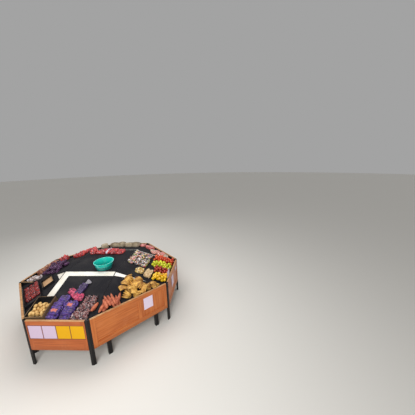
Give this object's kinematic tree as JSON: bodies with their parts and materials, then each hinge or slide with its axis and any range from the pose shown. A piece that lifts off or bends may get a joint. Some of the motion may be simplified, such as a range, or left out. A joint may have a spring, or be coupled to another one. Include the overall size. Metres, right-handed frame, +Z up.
{
  "type": "produce display island",
  "caption": "Eight-sided produce display island: wood-framed side panels on black legs, white decks sloping from a raised middle, dark mats, stocked with fruit, vegetables and bags",
  "frame": {"origin": "on the floor under the middle of the island", "axes": "+X to the right side, +Y to the back side, +Z up; the front side with the card frame faces -Y"},
  "size_m": [3.6613, 3.661, 1.4646],
  "materials": {
    "wood_laminate": "satin orange-brown wood-grain laminate",
    "pale_edge": "pale tan edge strip, lightly worn",
    "black_steel": "black paint, satin",
    "black_board": "black lining board, matt",
    "white_board": "warm white melamine",
    "dark_mat": "dark grey rubber mat with a fine knit",
    "card_frame_board": "dark red-brown board",
    "card": "bare card in a clear sleeve",
    "crate_board": "pale rough crate board, black lined",
    "potato_skin": "golden skin",
    "blue_net": "blue-purple plastic net",
    "plum_net": "plum and purple net",
    "clear_film": "clear film over brown and purple goods",
    "black_plastic": "black moulded tray",
    "red_pack": "red film packs",
    "grape_skin": "dark purple, waxy bloom",
    "small_bag": "small net and film bags",
    "sweet_potato_skin": "red-brown skin",
    "banana_skin": "ripe brown-yellow skin",
    "pepper_skin": "glossy yellow",
    "plum_skin": "glossy dark red",
    "pear_skin": "lime yellow skin",
    "apple_skin": "red to orange skin",
    "mixed_pack": "clear packs of white, green and purple goods",
    "kraft_paper": "tan paper",
    "pink_pack": "pink packs",
    "sack_cloth": "off-white sack cloth",
    "red_net": "red plastic net",
    "teal_plastic": "teal moulded plastic"
  },
  "bodies": {
    "root": {"front_panel": "wood_laminate", "front_right_panel": "wood_laminate", "right_panel": "wood_laminate", "back_right_panel": "wood_laminate", "back_panel": "wood_laminate", "back_left_panel": "wood_laminate", "left_panel": "wood_laminate", "front_left_panel": "wood_laminate", "panel_caps": "pale_edge", "corner_posts": "black_steel", "lip_liners": "black_board", "deck_ledgers": "black_board", "corner_module_legs": "black_steel", "center_frame": "black_steel", "center_deck": "white_board", "front_deck": "white_board", "front_right_deck": "white_board", "right_deck": "white_board", "back_right_deck": "white_board", "back_deck": "white_board", "back_left_deck": "white_board", "left_deck": "white_board", "front_left_deck": "white_board", "center_mat": "dark_mat", "slope_mats": "dark_mat", "front_card_frame": "card_frame_board", "price_cards": "card", "end_board": "wood_laminate", "potato_crate": "crate_board", "potatoes": "potato_skin", "blue_net_bags": "blue_net", "plum_net_bags": "plum_net", "clear_bags": "clear_film", "pack_tray": "black_plastic", "red_packs": "red_pack", "upper_tray": "black_plastic", "grapes": "grape_skin", "small_bags": "small_bag", "sweet_potatoes": "sweet_potato_skin", "bananas": "banana_skin", "peppers": "pepper_skin", "plums": "plum_skin", "pears": "pear_skin", "apples": "apple_skin", "mixed_packs": "mixed_pack", "paper_bag": "kraft_paper", "pink_packs": "pink_pack", "white_sacks": "sack_cloth", "red_net_bags": "red_net", "tub": "teal_plastic"}
  },
  "joints": []
}
